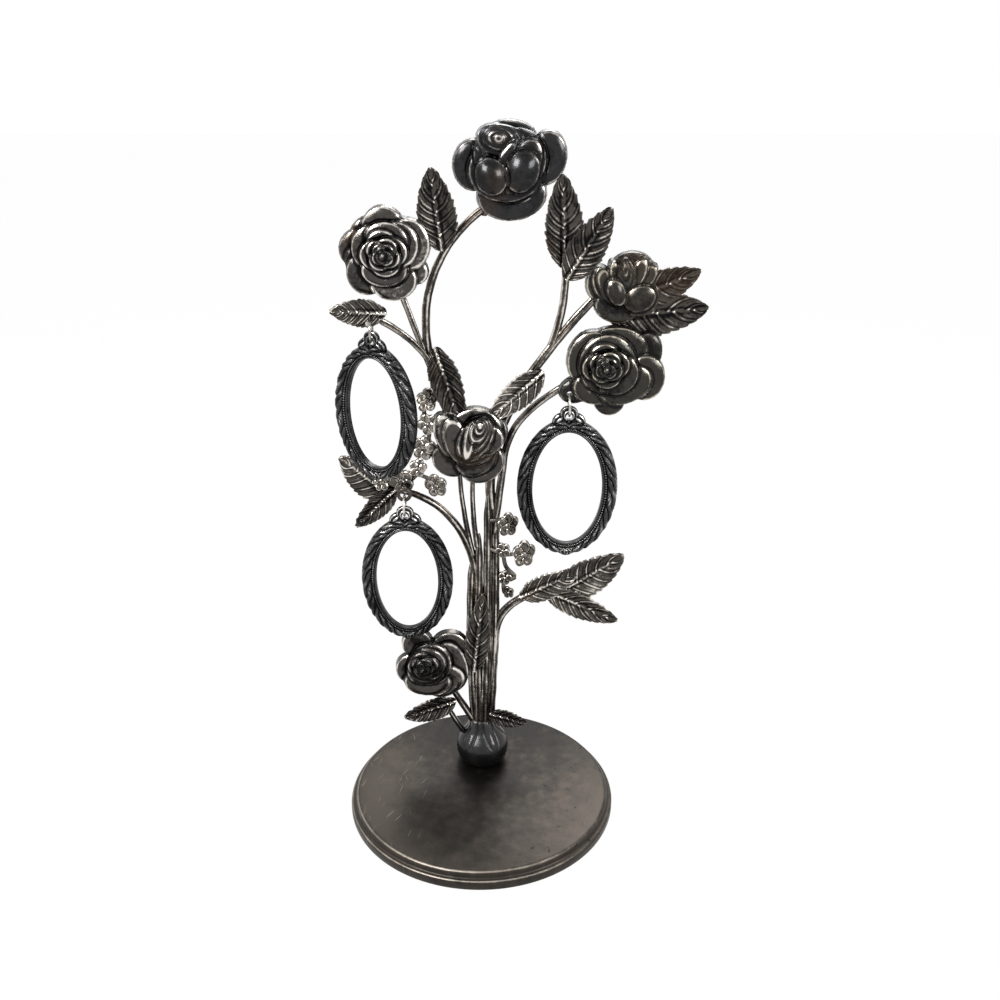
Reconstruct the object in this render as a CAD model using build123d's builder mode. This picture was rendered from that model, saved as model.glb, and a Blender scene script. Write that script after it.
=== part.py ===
"""Cast metal photo tree: a rose bush on a round base disc, with three oval photo frames that hang
from wire rings.

Every length is in millimetres. +Z is up, the viewer stands on the -Y side, and the origin is the
middle of the felt under the base disc. The bush is a flat spray of castings, soldered together in
one upright plane behind the middle of the disc. Leaves, blossoms and roses lie on its front.
Places on the bush are shares of its reach (sideways) and of the stand's height (upwards).
"""

import os
from math import cos, pi, radians, sin

from build123d import *

os.makedirs("parts", exist_ok=True)

# overall sizes
stand_height = 274.0
bush_reach = 70.0
foot_setback = 18.8
cut_overrun = 1.0

# base disc and its fixing
base_radius = 55.3
base_height = 7.0
base_plate_radius = 53.4
base_flange_height = 4.2
base_edge = 0.8
base_wall = 3.6
base_rim_width = 3.0
felt_thickness = 1.0
felt_clearance = 0.1
screw_radius = 2.0
screw_reach = 9.0
screw_head_radius = 3.6
screw_head_height = 1.4
screw_slot_width = 0.9
screw_slot_depth = 0.6
screw_clearance = 0.05
washer_radius = 6.0
washer_thickness = 0.6

# bulb and stems
bulb_radius = 11.2
bulb_height = 21.5
bulb_facets = 28
stem_width = 3.3
stem_depth = 3.6
branch_width = 3.0
branch_depth = 3.2
bough_width = 3.9
twig_width = 2.2
twig_depth = 2.6

# leaves
leaf_thickness = 1.2
rib_width = 1.3
rib_height = 1.9
petiole = 2.2

# roses
petal_thickness = 1.4
calyx_radius = 3.6
bud_tilt = 30.0
spiral_wall = 1.1

# blossoms
blossom_thickness = 1.5
blossom_eye_height = 0.7
stalk_width = 1.6
blossom_forward = 1.5

# hanging frames, their hooks and their rings
frame_depth = 4.6
frame_side_border = 6.2
frame_top_border = 5.2
frame_bead_bevel = 0.9
rebate_width = 1.4
rebate_depth = 1.2
crest_width = 13.0
crest_height = 4.6
crest_thickness = 2.0
crest_hole_rise = 0.8
frame_hole_radius = 1.4
hook_hole_radius = 1.5
hook_lug_radius = 3.0
hook_lug_thickness = 1.6
hook_arm_width = 2.4
hook_arm_height = 2.4
ring_radius = 3.9
ring_wire_radius = 0.5
ring_clearance = 0.3
ring_facets = 24

stem_section_shares = ((0.5, 0.0), (0.3, 0.5), (-0.3, 0.5), (-0.5, 0.0), (-0.3, -0.5), (0.3, -0.5))
leaf_edge_shares = (
    (0.0, 0.1), (0.13, 0.66), (0.17, 0.62), (0.30, 0.95), (0.34, 0.88), (0.47, 1.0), (0.51, 0.9),
    (0.64, 0.86), (0.68, 0.75), (0.80, 0.58), (0.84, 0.48), (1.0, 0.0),
)
lobe_shares = ((0.0, 0.3), (0.5, 0.95), (0.8, 0.92), (1.0, 0.38))
open_cup_shares = ((0.3, 0.0), (0.62, 0.62), (1.25, 1.0))
bud_cup_shares = ((0.4, 0.0), (1.0, 0.5), (0.94, 1.0))

bush_plane = Plane(origin=(0, foot_setback, 0), x_dir=(1, 0, 0), z_dir=(0, -1, 0))
made = {}


def place(share):
    """A point in the bush's plane from its shares of the reach and the height."""
    return share[0] * bush_reach, share[1] * stand_height


def keep(name, part):
    """Labels a finished piece and remembers it, so that its neighbours can seat against it."""
    part.label = name
    made[name] = part


def meets(box, room):
    """Whether two bounding boxes share some space."""
    sides = zip(box.min, box.max, room.min, room.max)
    return all(low < far and near < high for low, high, near, far in sides)


def seat(piece):
    """Cuts a soldered piece back to the faces of the castings that it lies on, without the offcuts."""
    box = piece.bounding_box()
    for other in made.values():
        if meets(box, other.bounding_box()):
            piece = piece - other
    solids = piece.solids().sort_by(SortBy.VOLUME)
    return Part() + solids[-1]


def stem(shares, width, depth, forward=0.0, lean=0.0):
    """A ribbed stem: one six-sided section along arcs that run into each other."""
    root = place(shares[0])[0]
    turned = cos(radians(lean))
    plane = Plane(
        origin=(root, foot_setback - forward, 0),
        x_dir=(turned, sin(radians(lean)), 0),
        z_dir=(sin(radians(lean)), -turned, 0),
    )
    points = [((x - root) / turned, z) for x, z in map(place, shares)]
    with BuildPart() as rod:
        with BuildLine(plane) as path:
            run = ThreePointArc(*points[:3])
            for start, end in zip(points[2:-1], points[3:]):
                run = TangentArc(start, end, tangent=run % 1)
        wire = path.wires()[0]
        with BuildSketch(Plane(origin=wire @ 0, x_dir=plane.z_dir, z_dir=wire % 0)):
            Polygon(*[(x * depth, y * width) for x, y in stem_section_shares], align=None)
        sweep(path=wire)
    return rod.part


def branch(name, runs, width, depth):
    """A branch and its side stems, cut back to the castings it springs from."""
    with BuildPart() as spray:
        for shares, width_share, forward_share, lean in runs:
            add(stem(shares, width * width_share, depth * min(1, width_share), forward_share * depth, lean))
    keep(name, seat(spray.part))


def leaf(name, base, tip, width_share, forward_share, fold=17.0, lift=8.0):
    """A serrated leaf: two thin halves that rise from the midrib, and the raised rib between them."""
    start, end = Vector(*place(base)), Vector(*place(tip))
    length = (end - start).length / cos(radians(lift))
    half_width = width_share * bush_reach / 2 / cos(radians(fold))
    origin = bush_plane.offset(forward_share * bush_reach).from_local_coords(start)
    along = (bush_plane.from_local_coords(end) - bush_plane.from_local_coords(start)).normalized()
    lying = Plane(origin=origin, x_dir=along, z_dir=(0, -1, 0))
    leaf_plane = Plane(lying.location * Rotation(0, -lift, 0))
    with BuildPart() as blade:
        for side in (1, -1):
            with BuildSketch(Plane(leaf_plane.location * Rotation(side * fold, 0, 0))):
                outline = [(x * length, side * y * half_width) for x, y in leaf_edge_shares]
                Polygon((0, 0), *outline, align=None)
            extrude(amount=leaf_thickness)
        with BuildSketch(leaf_plane):
            Polygon(
                (-petiole, -rib_width / 2),
                (length * 0.85, -rib_width / 6),
                (length * 0.85, rib_width / 6),
                (-petiole, rib_width / 2),
                align=None,
            )
        extrude(amount=rib_height)
    return blade.part, leaf_plane, length


def faceted(plane, profile, facets, closed=False):
    """A turned form with flat facets. The profile's corners are a radius and a height each."""
    turns = [2 * pi * step / facets for step in range(facets)]
    loops = [
        [plane.from_local_coords((radius * cos(turn), radius * sin(turn), height)) for turn in turns]
        for radius, height in profile
    ]
    pairs = list(zip(loops, loops[1:])) + ([(loops[-1], loops[0])] if closed else [])
    faces = [
        Face(Wire.make_polygon([low[side - 1], low[side], high[side], high[side - 1]]))
        for low, high in pairs
        for side in range(facets)
    ]
    if not closed:
        faces += [Face(Wire.make_polygon(loops[0])), Face(Wire.make_polygon(loops[-1]))]
    return Solid(Shell(faces))


def cup(plane, radius, rise, profile, petals, facets=9):
    """A faceted cup cut into separate petals, each with its angle, reach and half width."""
    outer = [(share * radius, height * rise) for share, height in profile]
    inner = [(corner - petal_thickness, height + petal_thickness * 0.7) for corner, height in outer[:-1]]
    lip = (outer[-1][0] - petal_thickness * 0.7, rise)
    with BuildPart() as bowl:
        add(faceted(plane, outer + [lip] + inner[::-1], facets))
        with BuildSketch(plane):
            for angle, reach, half_width in petals:
                edge = [(x * reach * radius, y * half_width * radius) for x, y in lobe_shares]
                with Locations(Rotation(0, 0, angle)):
                    Polygon(*edge, *[(x, -y) for x, y in reversed(edge)], align=None)
            RegularPolygon(radius * 0.32, facets)
        extrude(amount=rise + petal_thickness, mode=Mode.INTERSECT)
    return bowl.part


def even_petals(count, reach, half_width, start):
    """Petals of one size, spread evenly round a rose."""
    return [(start + 360 / count * step, reach, half_width) for step in range(count)]


def spiral_heart(plane, radius, height, turns=1.5, sides=8):
    """The rolled innermost petals: one wall that winds outwards."""
    steps = int(turns * sides)
    outer, inner = [], []
    for step in range(steps + 1):
        angle = 2 * pi * step / sides
        reach = spiral_wall + (radius - spiral_wall) * step / steps
        outer.append((reach * cos(angle), reach * sin(angle)))
        inner.append(((reach - spiral_wall) * cos(angle), (reach - spiral_wall) * sin(angle)))
    with BuildPart() as roll:
        with BuildSketch(plane):
            Polygon(*outer, *reversed(inner), align=None)
        extrude(amount=height)
        with BuildSketch(plane):
            RegularPolygon(radius, sides)
        extrude(amount=height * 0.6)
    return roll.part


# Base disc: a shallow cast cup turned over, with a flange round its foot and a raised plate on top.
with BuildPart() as base_disc:
    with BuildSketch(Plane.XZ):
        with BuildLine():
            Polyline(
                (0, base_height),
                (base_plate_radius - base_edge, base_height),
                (base_plate_radius, base_height - base_edge),
                (base_plate_radius, base_flange_height),
                (base_radius - base_edge / 2, base_flange_height),
                (base_radius, base_flange_height - base_edge / 2),
                (base_radius, 0),
                (base_radius - base_rim_width, 0),
                (base_radius - base_rim_width, base_height - base_wall),
                (0, base_height - base_wall),
                close=True,
            )
        make_face()
    revolve(axis=Axis.Z)
    with Locations((0, foot_setback, base_height)):
        Hole(screw_radius + screw_clearance, depth=base_wall + cut_overrun)
keep("base_disc", base_disc.part)

with BuildPart() as felt_pad:
    with BuildSketch():
        Circle(base_radius - base_rim_width - felt_clearance)
    extrude(amount=felt_thickness)
keep("felt_pad", felt_pad.part)

# A washer and a slotted screw hold the bulb down from inside the hollow of the disc.
washer_top = base_height - base_wall
with BuildPart() as washer:
    with BuildSketch(Plane.XY.offset(washer_top - washer_thickness)):
        with Locations((0, foot_setback)):
            Circle(washer_radius)
            Circle(screw_radius + screw_clearance, mode=Mode.SUBTRACT)
    extrude(amount=washer_thickness)
keep("base_washer", washer.part)

head_plane = Plane(origin=(0, foot_setback, washer_top - washer_thickness - screw_head_height))
with BuildPart() as screw:
    with BuildSketch(head_plane):
        Circle(screw_head_radius)
    extrude(amount=screw_head_height)
    with BuildSketch(head_plane):
        Circle(screw_radius)
    extrude(amount=screw_head_height + washer_thickness + base_wall + screw_reach)
    with BuildSketch(head_plane):
        Rectangle(screw_head_radius * 2, screw_slot_width)
    extrude(amount=screw_slot_depth, mode=Mode.SUBTRACT)
keep("base_screw", screw.part)

# Trunk: a bulb with a socket for the screw, and four ribbed stems that grow from it side by side.
trunk_shares = (
    ((-0.038, 0.090), (-0.063, 0.243), (-0.049, 0.385), -0.05),
    ((-0.016, 0.085), (-0.017, 0.208), (-0.008, 0.425), 0.22),
    ((0.012, 0.085), (0.027, 0.208), (0.044, 0.490), 0.28),
    ((0.046, 0.090), (0.074, 0.225), (0.083, 0.480), 0.0),
)
bulb_profile_shares = ((0.68, 0.0), (0.93, 0.14), (1.0, 0.38), (0.9, 0.62), (0.62, 0.88), (0.48, 1.0))
with BuildPart() as trunk:
    bulb = [(radius * bulb_radius, height * bulb_height) for radius, height in bulb_profile_shares]
    add(faceted(Plane(origin=(0, foot_setback, base_height)), bulb, bulb_facets))
    for *shares, forward_share in trunk_shares:
        add(stem(shares, stem_width, stem_depth, forward_share * stem_depth))
    with BuildSketch(Plane(origin=(0, foot_setback, base_height))):
        Circle(screw_radius + screw_clearance)
    extrude(amount=screw_reach + screw_clearance, mode=Mode.SUBTRACT)
keep("trunk", trunk.part)

# Branches: every run has its width, how far it lies forward, and how far it leans to the viewer.
branch(
    "branch_arch_left",
    (
        (((0.060, 0.894), (-0.197, 0.825), (-0.284, 0.740), (-0.232, 0.650), (-0.060, 0.555)), 1.15, 0, 0),
        (((0.150, 0.938), (0.110, 0.912), (0.020, 0.880)), 0.9, 0.1, 0),
        (((-0.150, 0.597), (-0.285, 0.690), (-0.468, 0.826)), 0.8, 0.22, 0),
        (((-0.170, 0.616), (-0.335, 0.711), (-0.520, 0.750)), 0.8, 0.05, 20),
    ),
    branch_width,
    branch_depth,
)
branch(
    "branch_bough_right",
    (
        (((0.700, 0.795), (0.536, 0.751), (0.264, 0.660), (0.120, 0.588), (0.066, 0.460)), 1, 0, 0),
        (((0.438, 0.850), (0.454, 0.790), (0.363, 0.692)), 0.8, 0, 0),
    ),
    bough_width,
    stem_depth,
)
branch(
    "branch_rose_right",
    ((((0.700, 0.673), (0.455, 0.648), (0.268, 0.612), (0.132, 0.541), (0.070, 0.420)), 1, 0, 0),),
    branch_width,
    branch_depth,
)
branch(
    "branch_low_left",
    ((((-0.585, 0.494), (-0.400, 0.489), (-0.225, 0.463), (-0.098, 0.418), (-0.022, 0.330)), 1.1, 0, 0),),
    branch_width,
    branch_depth,
)
branch(
    "branch_low_right",
    ((((0.520, 0.322), (0.330, 0.325), (0.189, 0.308), (0.082, 0.255), (0.038, 0.150)), 1, 0, 0),),
    bough_width,
    stem_depth,
)
branch(
    "branch_rose_center",
    (
        (((-0.120, 0.560), (-0.100, 0.469), (-0.040, 0.385)), 1, 0.0, 0),
        (((-0.030, 0.560), (-0.045, 0.490), (-0.020, 0.400)), 1, 0.3, 0),
    ),
    twig_width,
    twig_depth,
)
branch(
    "branch_base_left",
    (
        (((-0.285, 0.196), (-0.170, 0.151), (-0.050, 0.095)), 1, 0.1, 0),
        (((-0.253, 0.150), (-0.181, 0.106), (-0.110, 0.075)), 0.8, 0.1, 0),
    ),
    branch_width,
    branch_depth,
)

# Leaves: base, tip, width, how far forward, fold, and how far the tip lifts towards the viewer.
leaf_shares = {
    "leaf_trunk": ((-0.045, 0.196), (0.010, 0.330), 0.152, 0.040, 17, 0),
    "leaf_arch_top": ((-0.188, 0.836), (-0.234, 0.940), 0.205, 0.022, 17, 4),
    "leaf_arch_inner": ((-0.240, 0.706), (-0.096, 0.594), 0.172, 0.024, 17, 4),
    "leaf_bough_inner": ((0.345, 0.672), (0.055, 0.607), 0.164, 0.028, 17, 3),
    "leaf_bough_up": ((0.452, 0.812), (0.424, 0.932), 0.200, 0.012, 17, 5),
    "leaf_bough_side": ((0.458, 0.797), (0.672, 0.891), 0.195, 0.012, 17, 8),
    "leaf_bud_upper": ((0.700, 0.760), (1.165, 0.806), 0.210, -0.020, 14, -3),
    "leaf_bud_lower": ((0.690, 0.744), (1.222, 0.755), 0.250, -0.045, 14, -2),
    "leaf_low_left_upper": ((-0.510, 0.484), (-0.785, 0.541), 0.210, -0.012, 14, -2),
    "leaf_low_left_lower": ((-0.475, 0.496), (-0.706, 0.441), 0.130, 0.010, 17, 5),
    "leaf_low_right_inner": ((0.230, 0.322), (0.561, 0.369), 0.164, 0.018, 17, 5),
    "leaf_low_right_outer": ((0.450, 0.328), (0.816, 0.398), 0.230, 0.012, 17, 8),
    "leaf_low_right_lower": ((0.370, 0.334), (0.797, 0.290), 0.160, 0.016, 17, 8),
    "leaf_base_left": ((-0.160, 0.138), (-0.472, 0.113), 0.149, 0.020, 17, 6),
    "leaf_base_right": ((0.050, 0.116), (0.265, 0.101), 0.115, 0.028, 17, 4),
}
for name, row in leaf_shares.items():
    blade, leaf_plane, length = leaf(name, *row)
    keep(name, seat(blade))

# Hooks: the leaf, the rose petal and the little arm that the three rings hang from.
hook_shares = {
    "left": (-0.560, 0.752, 0.134),
    "low": (-0.420, 0.499, 0.129),
    "right": (0.484, 0.647, 0.120),
}


def hook_point(name):
    """The middle of a hook's hole."""
    x, z, forward = hook_shares[name]
    return x * bush_reach, foot_setback - forward * bush_reach, z * stand_height


def hook_hole(name):
    """The round hole that a ring passes through."""
    with BuildPart() as drill:
        with BuildSketch(Plane(origin=hook_point(name), x_dir=(1, 0, 0), z_dir=(0, -1, 0))):
            Circle(hook_hole_radius)
        extrude(amount=hook_lug_radius, both=True)
    return drill.part


blade, leaf_plane, length = leaf("leaf_hook", (-0.480, 0.757), (-0.758, 0.763), 0.150, 0.106, 14, 10)
keep("leaf_hook", seat(blade - hook_hole("left")))

x, y, z = hook_point("low")
with BuildPart() as arm:
    with BuildSketch(Plane(origin=(x, y, z), x_dir=(1, 0, 0), z_dir=(0, -1, 0))):
        Circle(hook_lug_radius)
        Circle(hook_hole_radius, mode=Mode.SUBTRACT)
    extrude(amount=hook_lug_thickness / 2, both=True)
    with BuildSketch(Plane(origin=(x, foot_setback, z), x_dir=(0, -1, 0), z_dir=(-1, 0, 0))):
        top = hook_lug_radius
        reach = foot_setback - y
        Polygon(
            (0, -hook_lug_radius * 1.6),
            (0, top),
            (reach + hook_lug_thickness / 2, top),
            (reach + hook_lug_thickness / 2, top - hook_hole_radius * 0.6),
            (reach - hook_lug_thickness / 2, top - hook_hole_radius * 0.6),
            (reach * 0.5, top - hook_arm_height),
            (branch_depth / 2, -hook_lug_radius * 1.6),
            align=None,
        )
    extrude(amount=hook_arm_width / 2, both=True)
keep("hook_arm", seat(arm.part))

# Roses: centre, radius, forward step, outer petals (angle, reach, half width), and the heart's place,
# tilt, radius and height. A heart that tilts far up is a bud with bulging petals that close over it.
rose_shares = {
    "rose_left": (
        (-0.474, 0.833), 0.243, 0.014,
        ((105, 0.97, 0.46), (183, 0.96, 0.46), (248, 1.04, 0.52), (312, 1.1, 0.50), (33, 1.06, 0.55)),
        (-0.476, 0.838), 10, 0.72, 0.42,
    ),
    "rose_right": (
        (0.723, 0.673), 0.271, 0.036,
        ((203, 1.12, 0.38), (150, 0.95, 0.48), (98, 0.97, 0.52), (32, 0.92, 0.53), (350, 1.0, 0.5),
         (312, 0.76, 0.45), (264, 0.84, 0.34)),
        (0.680, 0.688), 10, 0.72, 0.42,
    ),
    "rose_low": (
        (-0.290, 0.204), 0.232, 0.014,
        ((122, 1.05, 0.48), (56, 1.08, 0.55), (0, 0.9, 0.5), (308, 0.97, 0.52), (252, 0.97, 0.52),
         (194, 0.98, 0.5)),
        (-0.330, 0.224), 10, 0.72, 0.42,
    ),
    "rose_top": (
        (0.156, 0.938), 0.293, 0.014,
        ((182, 0.99, 0.46), (20, 1.04, 0.5), (275, 0.85, 0.6), (112, 0.82, 0.6)),
        (0.143, 0.934), 40, 0.64, 0.48,
    ),
    "rose_bud": (
        (0.756, 0.788), 0.212, 0.014,
        ((178, 1.02, 0.6), (262, 1.0, 0.7), (325, 0.95, 0.6), (38, 0.9, 0.6)),
        (0.740, 0.786), 40, 0.80, 0.56,
    ),
    "rose_center": (
        (-0.054, 0.566), 0.229, 0.030,
        ((152, 1.0, 0.5), (205, 1.04, 0.52), (250, 1.0, 0.52), (298, 1.0, 0.58), (352, 0.98, 0.55),
         (60, 0.9, 0.6)),
        (-0.030, 0.570), 35, 0.74, 0.50,
    ),
}
for name, (center, radius_share, forward_share, petals, heart, tilt, girth, rise) in rose_shares.items():
    radius = radius_share * bush_reach
    forward = forward_share * bush_reach
    back = Plane(
        origin=bush_plane.offset(forward).from_local_coords(place(center)),
        x_dir=(1, 0, 0),
        z_dir=(0, -1, 0),
    )
    heart_plane = Plane(
        origin=bush_plane.offset(forward + radius * 0.12).from_local_coords(place(heart)),
        x_dir=(1, 0, 0),
        z_dir=(0, -cos(radians(tilt)), sin(radians(tilt))),
    )
    with BuildPart() as rose:
        add(cup(back, radius, radius * 0.34, open_cup_shares, petals))
        if tilt > bud_tilt:
            eye = Plane(heart_plane.location * Pos(radius * -0.05, radius * 0.16, 0))
            bulge = even_petals(3, 1.1, 0.8, 210)
            inner = even_petals(3, 1.1, 0.8, 30)
            add(cup(heart_plane, radius * girth, radius * rise, bud_cup_shares, bulge))
            add(cup(eye, radius * girth * 0.66, radius * rise * 1.15, bud_cup_shares, inner, 8))
            add(spiral_heart(eye, radius * girth * 0.38, radius * rise * 1.15))
        else:
            middle = even_petals(5, 1.0, 0.58, 54)
            add(cup(heart_plane, radius * girth, radius * rise, open_cup_shares, middle))
            inner = even_petals(3, 1.1, 0.78, 10)
            add(cup(heart_plane, radius * girth * 0.64, radius * rise * 1.2, bud_cup_shares, inner, 8))
            add(spiral_heart(heart_plane, radius * girth * 0.38, radius * rise * 1.35))
        with BuildSketch(back.offset(-forward)):
            RegularPolygon(calyx_radius, 6)
        extrude(amount=forward + petal_thickness)
        if name == "rose_right":
            add(hook_hole("right"), mode=Mode.SUBTRACT)
    keep(name, seat(rose.part))

# Blossoms: small five petalled flowers, each group soldered together by its own stalks.
blossom_shares = {
    "blossoms_arch": (
        ((-0.286, 0.631, 0.062), (-0.285, 0.596, 0.062), (-0.310, 0.561, 0.068)),
        ((-0.286, 0.631, -0.286, 0.596), (-0.286, 0.596, -0.310, 0.561), (-0.310, 0.561, -0.120, 0.577)),
    ),
    "blossoms_low_left": (
        ((-0.550, 0.508, 0.047), (-0.440, 0.511, 0.073), (-0.347, 0.530, 0.052), (-0.249, 0.503, 0.068)),
        ((-0.550, 0.504, -0.440, 0.506), (-0.440, 0.508, -0.347, 0.522), (-0.347, 0.520, -0.249, 0.498)),
    ),
    "blossoms_right_upper": (((0.157, 0.442, 0.063),), ((0.157, 0.440, 0.045, 0.447),)),
    "blossoms_right_lower": (
        ((0.250, 0.395, 0.070), (0.129, 0.400, 0.047), (0.141, 0.355, 0.043), (0.159, 0.330, 0.038)),
        (
            (0.250, 0.397, 0.045, 0.402), (0.129, 0.396, 0.205, 0.355),
            (0.205, 0.355, 0.141, 0.352), (0.141, 0.355, 0.159, 0.320),
        ),
    ),
}
for name, (flowers, stalks) in blossom_shares.items():
    with BuildPart() as group:
        for x, z, radius_share in flowers:
            radius = radius_share * bush_reach
            spot = Plane(
                origin=bush_plane.offset(blossom_forward).from_local_coords(place((x, z))),
                x_dir=(1, 0, 0),
                z_dir=(0, -1, 0),
            )
            with BuildSketch(spot):
                edge = []
                for petal in range(5):
                    for turn, reach in ((-0.14, 0.96), (0.14, 0.96), (0.5, 0.5)):
                        angle = 2 * pi * (petal + turn) / 5
                        edge.append((reach * radius * sin(angle), reach * radius * cos(angle)))
                Polygon(*edge, align=None)
            extrude(amount=blossom_thickness)
            with BuildSketch(spot):
                RegularPolygon(radius * 0.3, 5)
            extrude(amount=blossom_thickness + blossom_eye_height)
        for x, z, end_x, end_z in stalks:
            start, end = Vector(*place((x, z))), Vector(*place((end_x, end_z)))
            middle = bush_plane.offset(blossom_forward - stalk_width / 2).from_local_coords((start + end) / 2)
            along = bush_plane.from_local_coords(end) - bush_plane.from_local_coords(start)
            with BuildSketch(Plane(origin=middle, x_dir=along, z_dir=(0, -1, 0))):
                Rectangle(along.length, stalk_width)
            extrude(amount=stalk_width)
    keep(name, seat(group.part))

# Hanging frames: an oval ring with a bead edge in front, a rebate behind, and a crest with a hole.
frame_shares = {
    "left": (0.530, 0.194, 30),
    "low": (0.530, 0.196, 0),
    "right": (0.564, 0.206, 0),
}
frame_sides = 40


def oval_ring(plane, loops):
    """An oval ring with flat facets. Each loop is a width, a height, a scale and a step forward."""
    turns = [2 * pi * step / frame_sides for step in range(frame_sides)]
    corners = [
        [
            plane.from_local_coords((cos(turn) * width / 2 * scale, sin(turn) * height / 2 * scale, forward))
            for turn in turns
        ]
        for width, height, scale, forward in loops
    ]
    return Solid(Shell([
        Face(Wire.make_polygon([low[side - 1], low[side], high[side], high[side - 1]]))
        for low, high in zip(corners, corners[1:] + corners[:1])
        for side in range(frame_sides)
    ]))


for side, (width_share, height_share, yaw) in frame_shares.items():
    width, height = width_share * bush_reach, height_share * stand_height
    x, y, z = hook_point(side)
    ring_z = z - (hook_hole_radius - ring_wire_radius - ring_clearance) - ring_radius
    turned = radians(yaw)
    skew_room = crest_thickness / 4 * sin(turned)
    crest_z = ring_z - ring_radius - (frame_hole_radius - ring_wire_radius - ring_clearance - skew_room)
    front = Plane(
        origin=(x, y, crest_z - crest_hole_rise - height / 2),
        x_dir=(cos(turned), -sin(turned), 0),
        z_dir=(-sin(turned), -cos(turned), 0),
    )
    inner_width, inner_height = width - 2 * frame_side_border, height - 2 * frame_top_border
    bead = 1 + 2 * frame_bead_bevel / inner_width
    rebate = (inner_width + 2 * rebate_width, inner_height + 2 * rebate_width)
    loops = (
        (width, height, 0.97, -frame_depth / 2),
        (width, height, 1, 0),
        (width, height, 0.9, frame_depth / 2),
        (inner_width, inner_height, bead, frame_depth / 2),
        (inner_width, inner_height, 1, frame_depth / 2 - frame_bead_bevel),
        (inner_width, inner_height, 1, rebate_depth - frame_depth / 2),
        (*rebate, 1, rebate_depth - frame_depth / 2),
        (*rebate, 1, -frame_depth / 2),
    )
    with BuildPart() as photo_frame:
        add(oval_ring(front, loops))
        with BuildSketch(front.offset(-crest_thickness / 2)):
            with Locations((0, height / 2 - frame_top_border / 2)):
                Polygon(
                    (-crest_width / 2, 0),
                    (-crest_width * 0.36, crest_height * 0.85),
                    (-crest_width * 0.16, crest_height * 1.2 + crest_hole_rise),
                    (crest_width * 0.16, crest_height * 1.2 + crest_hole_rise),
                    (crest_width * 0.36, crest_height * 0.85),
                    (crest_width / 2, 0),
                    align=None,
                )
        extrude(amount=crest_thickness)
        with BuildSketch(front.offset(-frame_depth)):
            with Locations((0, height / 2 + crest_hole_rise)):
                Circle(frame_hole_radius)
        extrude(amount=frame_depth * 2, mode=Mode.SUBTRACT)
    keep(f"photo_frame_{side}", photo_frame.part)
    wire_section = [
        (ring_radius + ring_wire_radius * cos(pi * step / 3), ring_wire_radius * sin(pi * step / 3))
        for step in range(6)
    ]
    ring_plane = Plane(origin=(x, y, ring_z), x_dir=(0, 1, 0), z_dir=(1, 0, 0))
    with BuildPart() as ring:
        add(faceted(ring_plane, wire_section, ring_facets, closed=True))
    keep(f"ring_{side}", ring.part)

for name, part in made.items():
    export_step(part, f"parts/{name}.step")
    print(name, len(part.solids()), part.is_valid, round(part.volume, 1))
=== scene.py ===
from math import atan2, ceil, cos, exp, hypot, pi, radians, sin, tan

import bpy
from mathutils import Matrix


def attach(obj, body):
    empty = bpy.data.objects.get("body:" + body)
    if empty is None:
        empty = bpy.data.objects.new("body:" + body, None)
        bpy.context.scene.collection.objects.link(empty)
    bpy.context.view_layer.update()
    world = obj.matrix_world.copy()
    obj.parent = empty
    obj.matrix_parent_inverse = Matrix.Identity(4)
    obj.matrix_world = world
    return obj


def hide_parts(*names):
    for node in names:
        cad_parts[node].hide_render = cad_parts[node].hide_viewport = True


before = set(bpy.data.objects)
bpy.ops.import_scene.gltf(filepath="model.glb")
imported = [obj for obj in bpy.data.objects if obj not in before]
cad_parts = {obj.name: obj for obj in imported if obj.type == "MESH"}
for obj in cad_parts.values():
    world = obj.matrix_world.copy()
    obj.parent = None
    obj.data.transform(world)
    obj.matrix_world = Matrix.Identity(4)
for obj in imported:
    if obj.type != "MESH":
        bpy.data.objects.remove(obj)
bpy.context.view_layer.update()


# The photograph's view: the stand is looked down on from the height of the top rose, straight from the
# front. Pitch and distance are those at which the round disc has the outline that it has in the photograph.
camera_place = (0.00781, -0.3674, 0.292)
pitch = 22.67
bpy.ops.object.camera_add(location=camera_place, rotation=(radians(90 - pitch), 0, 0))
camera = bpy.context.object
camera.data.lens = 37.8
camera.data.clip_start = 0.01
bpy.context.scene.camera = camera
bpy.context.scene.view_settings.view_transform = "Standard"


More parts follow.
